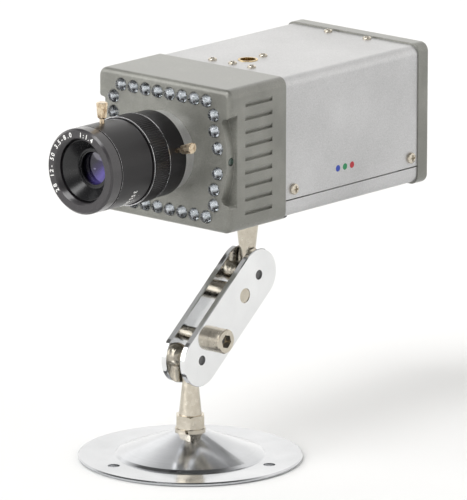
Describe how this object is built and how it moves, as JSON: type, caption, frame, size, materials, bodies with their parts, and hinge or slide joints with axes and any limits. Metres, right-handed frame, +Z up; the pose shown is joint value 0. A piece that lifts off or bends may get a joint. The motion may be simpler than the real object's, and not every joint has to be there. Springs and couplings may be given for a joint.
{
  "type": "infrared box camera",
  "caption": "Box surveillance camera with infrared lamps and a varifocal lens, on a chrome double-ball clamp bracket with a round screw-down base.",
  "frame": {"origin": "centre of the round base's underside, at the centre of its three screw holes", "axes": "+Z up along the lower stud, the lens looks along -Y, +X is the side with the light sensor and the clamp screw's head"},
  "size_m": [0.09, 0.1809, 0.1578],
  "materials": {
    "satin_steel": "turned satin chrome plate with fine circular grain",
    "mirror_chrome": "mirror polished chrome plate",
    "warm_nickel": "bright nickel plate, slightly warm",
    "screw_nickel": "nickel plated screws",
    "spring_steel": "zinc plated spring steel",
    "brass": "turned brass",
    "nickel_brass": "knurled brass, thinly nickelled",
    "cast_grey": "fine metallic warm grey paint on a die casting",
    "silver_cover": "fine bead-blasted silver anodised aluminium",
    "silver_ring": "turned natural aluminium",
    "black_anodised": "satin black anodised aluminium",
    "lens_black": "black anodised, semi-gloss inside the hood",
    "blade_black": "blackened thin steel",
    "black_plastic": "moulded black plastic",
    "panel_grey": "painted metal panel",
    "clear_lamp": "clear epoxy lamp with a small metal cup inside",
    "photocell": "dark green photocell window",
    "coated_glass": "lens glass with a purple-blue coating",
    "filter_glass": "pale cyan infrared cut filter",
    "ceramic_chip": "dark sensor package",
    "circuit_board": "green solder mask",
    "components": "moulded component bodies",
    "white_insulator": "white fluoropolymer",
    "red_lamp": "red diffused indicator"
  },
  "bodies": {
    "base": {"base_plate": "satin_steel", "base_lock_washer": "spring_steel", "base_lock_nut": "warm_nickel", "base_under_nut": "warm_nickel"},
    "lower_stud": {"lower_ball_stud": "warm_nickel"},
    "link": {"clamp_plate_right": "mirror_chrome", "clamp_plate_left": "mirror_chrome", "spacer_pin": "warm_nickel"},
    "clamp_screw": {"clamp_screw": "warm_nickel"},
    "upper_stud": {"upper_ball_stud": "warm_nickel", "upper_lock_nut": "warm_nickel"},
    "camera": {"tripod_block": "black_plastic", "tripod_block_screws": "screw_nickel", "tripod_insert": "brass", "top_insert": "brass", "top_insert_screws": "screw_nickel", "top_cover": "silver_cover", "bottom_tray": "silver_cover", "side_screws": "screw_nickel", "top_screws": "screw_nickel", "tray_screws": "screw_nickel", "front_bezel": "cast_grey", "led_board": "circuit_board", "ir_leds": "clear_lamp", "light_sensor": "photocell", "rear_bezel": "cast_grey", "rear_panel": "panel_grey", "rear_panel_screws": "screw_nickel", "bnc_shell": "warm_nickel", "bnc_nut": "warm_nickel", "bnc_insulator": "white_insulator", "bnc_pin": "brass", "dc_jack": "black_plastic", "dc_pin": "warm_nickel", "power_led": "red_lamp", "cs_mount_ring": "silver_ring", "sensor_holder": "black_plastic", "ir_cut_filter": "filter_glass", "image_sensor": "ceramic_chip", "sensor_board": "circuit_board", "main_board": "circuit_board", "main_board_parts": "components", "board_standoffs": "brass", "lens_barrel": "lens_black", "iris_housing": "lens_black"},
    "zoom_ring": {"zoom_ring": "black_anodised"},
    "zoom_lock": {"zoom_lock_screw": "nickel_brass"},
    "iris_ring": {"iris_ring": "black_anodised"},
    "focus_ring": {"focus_ring": "black_anodised", "front_ring": "black_anodised"},
    "focus_lock": {"focus_lock_screw": "nickel_brass"},
    "front_group": {"front_lens_cell": "lens_black", "front_lens_glass": "coated_glass"},
    "rear_group": {"rear_lens_cell": "lens_black", "rear_lens_glass": "coated_glass"},
    "iris_blade_1": {"iris_blade_1": "blade_black"},
    "iris_blade_2": {"iris_blade_2": "blade_black"},
    "iris_blade_3": {"iris_blade_3": "blade_black"},
    "iris_blade_4": {"iris_blade_4": "blade_black"},
    "iris_blade_5": {"iris_blade_5": "blade_black"}
  },
  "joints": [
    {"name": "base_swivel", "type": "hinge", "parent": "base", "child": "lower_stud", "pos_m": [0, 0, 0.0409], "axis": [0, 0, 1], "continuous": true},
    {"name": "lower_tilt", "type": "hinge", "parent": "lower_stud", "child": "link", "pos_m": [0, 0, 0.0409], "axis": [1, 0, 0], "range_deg": [-35, 40]},
    {"name": "clamp_screw_turn", "type": "hinge", "parent": "link", "child": "clamp_screw", "pos_m": [0, 0.00845, 0.04794], "axis": [1, 0, 0], "range_deg": [0, 360]},
    {"name": "upper_tilt", "type": "hinge", "parent": "link", "child": "upper_stud", "pos_m": [0, 0.0345, 0.06964], "axis": [1, 0, 0], "range_deg": [-50, 35]},
    {"name": "camera_swivel", "type": "hinge", "parent": "upper_stud", "child": "camera", "pos_m": [0, 0.0345, 0.09684], "axis": [0, 0, 1], "continuous": true},
    {"name": "zoom_turn", "type": "hinge", "parent": "camera", "child": "zoom_ring", "pos_m": [0, -0.0161, 0.12864], "axis": [0, -1, 0], "range_deg": [-35, 35]},
    {"name": "zoom_lock_turn", "type": "hinge", "parent": "zoom_ring", "child": "zoom_lock", "pos_m": [0, -0.0271, 0.12864], "axis": [0.9659, 0, 0.2588], "range_deg": [0, 360]},
    {"name": "iris_turn", "type": "hinge", "parent": "camera", "child": "iris_ring", "pos_m": [0, -0.0161, 0.12864], "axis": [0, -1, 0], "range_deg": [0, 60]},
    {"name": "focus_turn", "type": "hinge", "parent": "camera", "child": "focus_ring", "pos_m": [0, -0.0161, 0.12864], "axis": [0, -1, 0], "range_deg": [-60, 60]},
    {"name": "focus_lock_turn", "type": "hinge", "parent": "focus_ring", "child": "focus_lock", "pos_m": [0, -0.0524, 0.12864], "axis": [0, 0, 1], "range_deg": [0, 360]},
    {"name": "front_group_slide", "type": "slide", "parent": "camera", "child": "front_group", "axis": [0, -1, 0], "range_m": [-0.0012, 0.0012]},
    {"name": "rear_group_slide", "type": "slide", "parent": "camera", "child": "rear_group", "axis": [0, -1, 0], "range_m": [-0.003, 0.003]},
    {"name": "iris_blade_1_turn", "type": "hinge", "parent": "camera", "child": "iris_blade_1", "pos_m": [0.0093, -0.0455, 0.12864], "axis": [0, -1, 0], "range_deg": [0, 26]},
    {"name": "iris_blade_2_turn", "type": "hinge", "parent": "camera", "child": "iris_blade_2", "pos_m": [0.00287, -0.0455, 0.13749], "axis": [0, -1, 0], "range_deg": [0, 26]},
    {"name": "iris_blade_3_turn", "type": "hinge", "parent": "camera", "child": "iris_blade_3", "pos_m": [-0.00752, -0.0455, 0.13411], "axis": [0, -1, 0], "range_deg": [0, 26]},
    {"name": "iris_blade_4_turn", "type": "hinge", "parent": "camera", "child": "iris_blade_4", "pos_m": [-0.00752, -0.0455, 0.12318], "axis": [0, -1, 0], "range_deg": [0, 26]},
    {"name": "iris_blade_5_turn", "type": "hinge", "parent": "camera", "child": "iris_blade_5", "pos_m": [0.00287, -0.0455, 0.1198], "axis": [0, -1, 0], "range_deg": [0, 26]}
  ],
  "couplings": [
    {"joint": "front_group_slide", "follows": "focus_turn", "m_per_rad": 0.0011458},
    {"joint": "rear_group_slide", "follows": "zoom_turn", "m_per_rad": 0.0049106},
    {"joint": "iris_blade_1_turn", "follows": "iris_turn", "ratio": 0.433},
    {"joint": "iris_blade_2_turn", "follows": "iris_turn", "ratio": 0.433},
    {"joint": "iris_blade_3_turn", "follows": "iris_turn", "ratio": 0.433},
    {"joint": "iris_blade_4_turn", "follows": "iris_turn", "ratio": 0.433},
    {"joint": "iris_blade_5_turn", "follows": "iris_turn", "ratio": 0.433}
  ]
}
